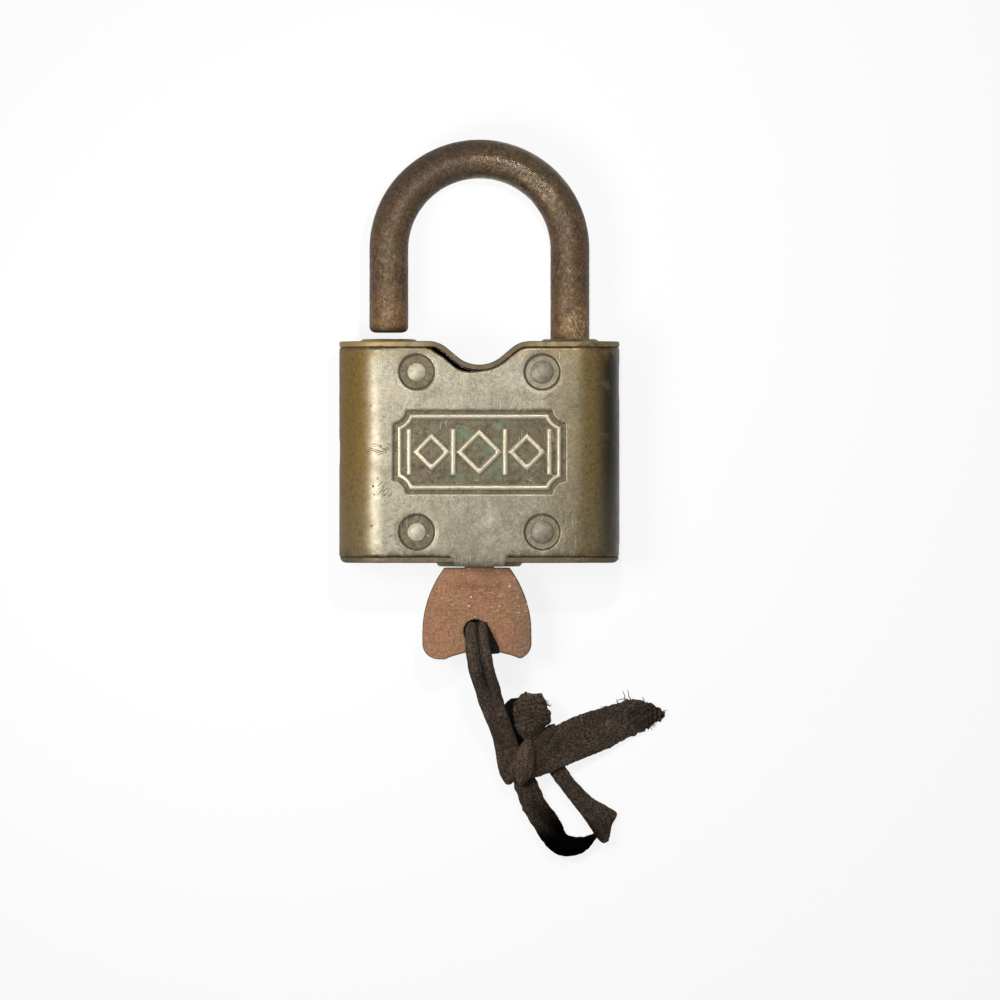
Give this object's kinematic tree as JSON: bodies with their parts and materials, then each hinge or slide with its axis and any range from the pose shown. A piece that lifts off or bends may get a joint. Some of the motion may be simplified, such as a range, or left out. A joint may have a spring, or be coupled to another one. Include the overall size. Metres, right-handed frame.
{
  "type": "rusty padlock",
  "caption": "Open pressed-metal padlock with a rusty steel shackle, a rusty key in its keyway and a dark cloth tape tied through the key.",
  "frame": {"origin": "centre of the case's flat back face, on which the padlock lies", "axes": "+X to the heel side of the shackle, +Y from the keyway to the shackle, +Z out of the front face"},
  "size_m": [0.066, 0.1453, 0.0183],
  "materials": {
    "case_brass": "worn, scratched and tarnished",
    "cap_steel": "dull grey, dirty edges",
    "rivet_bright": "worn bright",
    "rivet_dark": "dull",
    "shackle_rust": "dark pitted rust",
    "plug_brass": "tarnished",
    "inner_brass": "plain",
    "inner_steel": "plain",
    "key_rust": "orange-brown rust",
    "cloth_tape": "woven cotton, frayed ends"
  },
  "bodies": {
    "case": {"case_shell": "case_brass", "top_plate": "cap_steel", "bottom_plate": "cap_steel", "rivet_upper_left": "rivet_bright", "rivet_upper_right": "rivet_dark", "rivet_lower_left": "rivet_bright", "rivet_lower_right": "rivet_dark", "toe_socket": "inner_steel", "heel_guide": "inner_steel", "heel_pin": "inner_steel", "lift_spring": "inner_steel", "plug_housing": "inner_brass", "bolt_guide": "inner_brass"},
    "follower": {"spring_follower": "inner_steel"},
    "shackle": {"shackle": "shackle_rust"},
    "plug": {"keyway_plug": "plug_brass", "plug_clip": "inner_steel", "wafer_springs": "inner_steel"},
    "wafer_a": {"wafer_1": "inner_brass"},
    "wafer_b": {"wafer_2": "inner_brass"},
    "wafer_c": {"wafer_3": "inner_brass"},
    "wafer_d": {"wafer_4": "inner_brass"},
    "bolt": {"bolt": "inner_steel"},
    "key": {"key": "key_rust", "tape_short_tail": "cloth_tape", "tape_loop": "cloth_tape", "tape_bow": "cloth_tape", "tape_long_tail": "cloth_tape", "tape_knot": "cloth_tape"}
  },
  "joints": [
    {"name": "shackle_lift", "type": "slide", "parent": "case", "child": "follower", "axis": [0, 1, 0], "range_m": [-0.012, 0], "stiffness_N_per_m": 400, "springref_m": 0.01, "deforming": ["lift_spring"]},
    {"name": "shackle_swing", "type": "hinge", "parent": "follower", "child": "shackle", "pos_m": [0.01845, 0, 0.009], "axis": [0, 1, 0], "continuous": true},
    {"name": "plug_turn", "type": "hinge", "parent": "case", "child": "plug", "pos_m": [0, 0, 0.009], "axis": [0, 1, 0], "range_deg": [0, 90]},
    {"name": "key_slide", "type": "slide", "parent": "plug", "child": "key", "axis": [0, 1, 0], "range_m": [-0.02, 0]},
    {"name": "bolt_slide", "type": "slide", "parent": "case", "child": "bolt", "axis": [1, 0, 0], "range_m": [0, 0.0017]},
    {"name": "wafer_a_slide", "type": "slide", "parent": "plug", "child": "wafer_a", "axis": [1, 0, 0], "range_m": [0, 0.0009]},
    {"name": "wafer_b_slide", "type": "slide", "parent": "plug", "child": "wafer_b", "axis": [1, 0, 0], "range_m": [-0.0009, 0]},
    {"name": "wafer_c_slide", "type": "slide", "parent": "plug", "child": "wafer_c", "axis": [1, 0, 0], "range_m": [0, 0.0009]},
    {"name": "wafer_d_slide", "type": "slide", "parent": "plug", "child": "wafer_d", "axis": [1, 0, 0], "range_m": [-0.0009, 0]}
  ],
  "couplings": [
    {"joint": "bolt_slide", "follows": "plug_turn", "m_per_rad": 0.00102},
    {"joint": "wafer_a_slide", "follows": "key_slide", "ratio": -0.04},
    {"joint": "wafer_b_slide", "follows": "key_slide", "ratio": 0.04},
    {"joint": "wafer_c_slide", "follows": "key_slide", "ratio": -0.04},
    {"joint": "wafer_d_slide", "follows": "key_slide", "ratio": 0.04}
  ]
}
